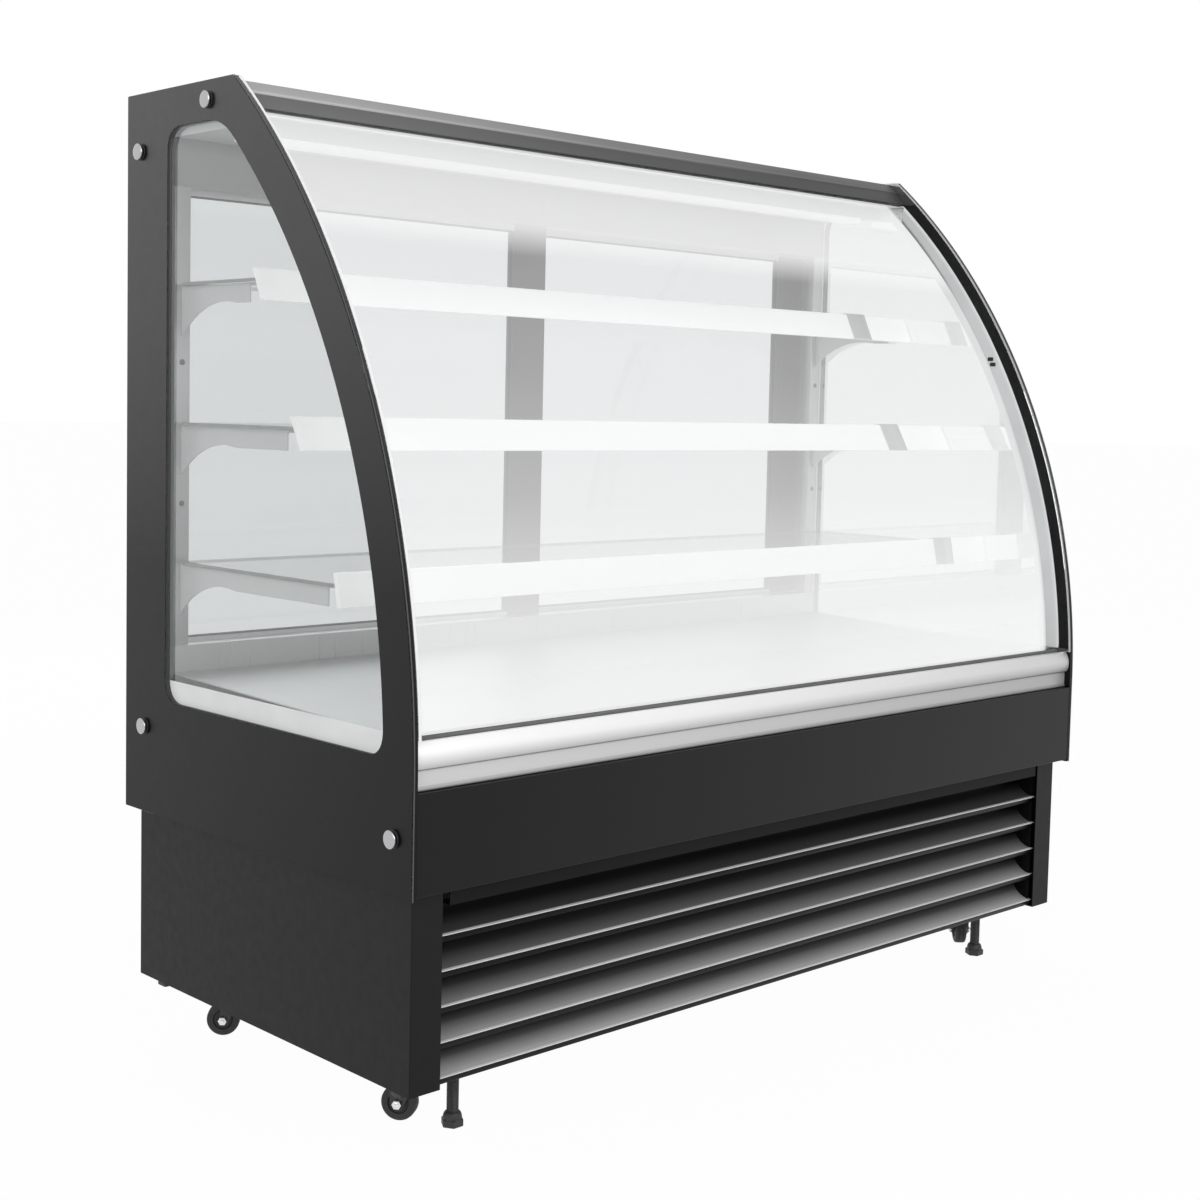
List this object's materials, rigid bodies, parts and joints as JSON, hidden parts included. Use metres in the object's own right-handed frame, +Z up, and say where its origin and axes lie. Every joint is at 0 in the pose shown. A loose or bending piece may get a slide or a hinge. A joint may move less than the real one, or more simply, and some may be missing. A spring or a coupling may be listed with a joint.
{
  "type": "refrigerated bakery display case",
  "caption": "Refrigerated display case with curved lift-up front glass, glazed ends, lit glass shelves, sliding rear doors and a louvred plinth on castors.",
  "frame": {"origin": "middle of the footprint, on the floor", "axes": "+Z up, +X along the width, -Y towards the customer's side with the curved glass"},
  "size_m": [1.516, 0.712, 1.418],
  "materials": {
    "black_powder_coat": "satin fine-texture powder coat",
    "galvanised_sheet": "galvanised",
    "black_border": "black border print behind glass",
    "end_glass": "clear tempered",
    "front_glass": "clear curved tempered",
    "black_anodised": "black anodised",
    "door_aluminium": "satin anodised",
    "shelf_glass": "clear float, polished edges",
    "door_glass": "double glazed",
    "light_diffuser_white": "opal white",
    "bumper_white": "satin white-silver",
    "black_rubber": "soft matt",
    "bolt_chrome": "polished",
    "white_liner": "white lined",
    "black_tub_skin": "black sheet over foam",
    "brushed_stainless": "brushed",
    "coil_aluminium": "plain fins",
    "black_plastic": "moulded",
    "compressor_enamel": "black enamel",
    "zinc_plate": "dark zinc plate",
    "wheel_rubber": "moulded tread",
    "foot_black": "moulded"
  },
  "bodies": {
    "cabinet": {"plinth_floor": "galvanised_sheet", "plinth_side_left": "black_powder_coat", "plinth_side_right": "black_powder_coat", "louvre_header": "black_powder_coat", "louvre": "black_powder_coat", "rear_grille": "black_powder_coat", "insulated_tub": "black_tub_skin", "fascia_panel": "black_powder_coat", "bumper_round": "bumper_white", "bumper_flat": "bumper_white", "sill_gasket": "black_rubber", "end_outer_pane_left": "end_glass", "end_outer_pane_right": "end_glass", "end_border_boards": "black_border", "end_inner_panes": "end_glass", "standoff_bolts": "bolt_chrome", "top_beam": "black_powder_coat", "roof_panel": "black_powder_coat", "canopy_liner": "white_liner", "light_diffuser": "light_diffuser_white", "deck_pan": "brushed_stainless", "rear_sill": "brushed_stainless", "rear_header": "brushed_stainless", "shelf_posts": "brushed_stainless", "shelf_brackets": "brushed_stainless", "door_tracks": "brushed_stainless", "door_jambs": "door_aluminium", "evaporator_coil": "coil_aluminium", "condenser_coil": "coil_aluminium", "compressor": "compressor_enamel", "control_panel": "black_plastic", "shelf_glass_lower": "shelf_glass", "shelf_glass_middle": "shelf_glass", "shelf_glass_upper": "shelf_glass", "light_strip_lower": "light_diffuser_white", "light_strip_middle": "light_diffuser_white", "light_strip_upper": "light_diffuser_white"},
    "front_glass": {"front_glass": "front_glass", "glass_hinge": "black_anodised"},
    "door_right": {"door_frame_right": "door_aluminium", "door_stile_right": "black_anodised", "door_glass_right": "door_glass"},
    "door_left": {"door_frame_left": "door_aluminium", "door_stile_left": "black_anodised", "door_glass_left": "door_glass"},
    "evaporator_fan": {"evaporator_fan": "black_plastic"},
    "condenser_fan": {"condenser_fan": "black_plastic"},
    "rocker_switch": {"rocker_switch": "black_plastic"},
    "foot_left": {"levelling_foot_left": "foot_black"},
    "foot_right": {"levelling_foot_right": "foot_black"},
    "castor_front_left": {"castor_fork_front_left": "zinc_plate"},
    "wheel_front_left": {"castor_wheel_front_left": "wheel_rubber"},
    "pedal_front_left": {"brake_pedal_front_left": "zinc_plate"},
    "castor_front_right": {"castor_fork_front_right": "zinc_plate"},
    "wheel_front_right": {"castor_wheel_front_right": "wheel_rubber"},
    "pedal_front_right": {"brake_pedal_front_right": "zinc_plate"},
    "castor_rear_left": {"castor_fork_rear_left": "zinc_plate"},
    "wheel_rear_left": {"castor_wheel_rear_left": "wheel_rubber"},
    "castor_rear_right": {"castor_fork_rear_right": "zinc_plate"},
    "wheel_rear_right": {"castor_wheel_rear_right": "wheel_rubber"}
  },
  "joints": [
    {"name": "front_glass_lift", "type": "hinge", "parent": "cabinet", "child": "front_glass", "pos_m": [0, 0.04999, 1.3656], "axis": [-1, 0, 0], "range_deg": [0, 40]},
    {"name": "door_right_slide", "type": "slide", "parent": "cabinet", "child": "door_right", "axis": [-1, 0, 0], "range_m": [0, 0.69]},
    {"name": "door_left_slide", "type": "slide", "parent": "cabinet", "child": "door_left", "axis": [1, 0, 0], "range_m": [0, 0.69]},
    {"name": "evaporator_fan_spin", "type": "hinge", "parent": "cabinet", "child": "evaporator_fan", "pos_m": [0, 0.024, 0.4619], "axis": [0, 1, 0], "continuous": true},
    {"name": "condenser_fan_spin", "type": "hinge", "parent": "cabinet", "child": "condenser_fan", "pos_m": [0.26, -0.066, 0.2081], "axis": [0, 1, 0], "continuous": true},
    {"name": "rocker_tip", "type": "hinge", "parent": "cabinet", "child": "rocker_switch", "pos_m": [0.56, 0.3523, 0.45], "axis": [1, 0, 0], "range_deg": [-6, 6]},
    {"name": "foot_left_height", "type": "slide", "parent": "cabinet", "child": "foot_left", "axis": [0, 0, 1], "range_m": [0, 0.012]},
    {"name": "foot_right_height", "type": "slide", "parent": "cabinet", "child": "foot_right", "axis": [0, 0, 1], "range_m": [0, 0.012]},
    {"name": "castor_swivel_front_left", "type": "hinge", "parent": "cabinet", "child": "castor_front_left", "pos_m": [-0.636, -0.214, 0.08], "axis": [0, 0, 1], "continuous": true},
    {"name": "wheel_roll_front_left", "type": "hinge", "parent": "castor_front_left", "child": "wheel_front_left", "pos_m": [-0.6446, -0.20171, 0.025], "axis": [-0.8192, -0.5736, 0], "continuous": true},
    {"name": "brake_press_front_left", "type": "hinge", "parent": "castor_front_left", "child": "pedal_front_left", "pos_m": [-0.64977, -0.19434, 0.06], "axis": [-0.8192, -0.5736, 0], "range_deg": [0, 15]},
    {"name": "castor_swivel_front_right", "type": "hinge", "parent": "cabinet", "child": "castor_front_right", "pos_m": [0.636, -0.214, 0.08], "axis": [0, 0, 1], "continuous": true},
    {"name": "wheel_roll_front_right", "type": "hinge", "parent": "castor_front_right", "child": "wheel_front_right", "pos_m": [0.64642, -0.20321, 0.025], "axis": [-0.7193, 0.6947, 0], "continuous": true},
    {"name": "brake_press_front_right", "type": "hinge", "parent": "castor_front_right", "child": "pedal_front_right", "pos_m": [0.65267, -0.19674, 0.06], "axis": [-0.7193, 0.6947, 0], "range_deg": [0, 15]},
    {"name": "castor_swivel_rear_left", "type": "hinge", "parent": "cabinet", "child": "castor_rear_left", "pos_m": [-0.636, 0.229, 0.08], "axis": [0, 0, 1], "continuous": true},
    {"name": "wheel_roll_rear_left", "type": "hinge", "parent": "castor_rear_left", "child": "wheel_rear_left", "pos_m": [-0.64749, 0.23864, 0.025], "axis": [-0.6428, -0.766, 0], "continuous": true},
    {"name": "castor_swivel_rear_right", "type": "hinge", "parent": "cabinet", "child": "castor_rear_right", "pos_m": [0.636, 0.229, 0.08], "axis": [0, 0, 1], "continuous": true},
    {"name": "wheel_roll_rear_right", "type": "hinge", "parent": "castor_rear_right", "child": "wheel_rear_right", "pos_m": [0.6435, 0.24199, 0.025], "axis": [-0.866, 0.5, 0], "continuous": true}
  ]
}
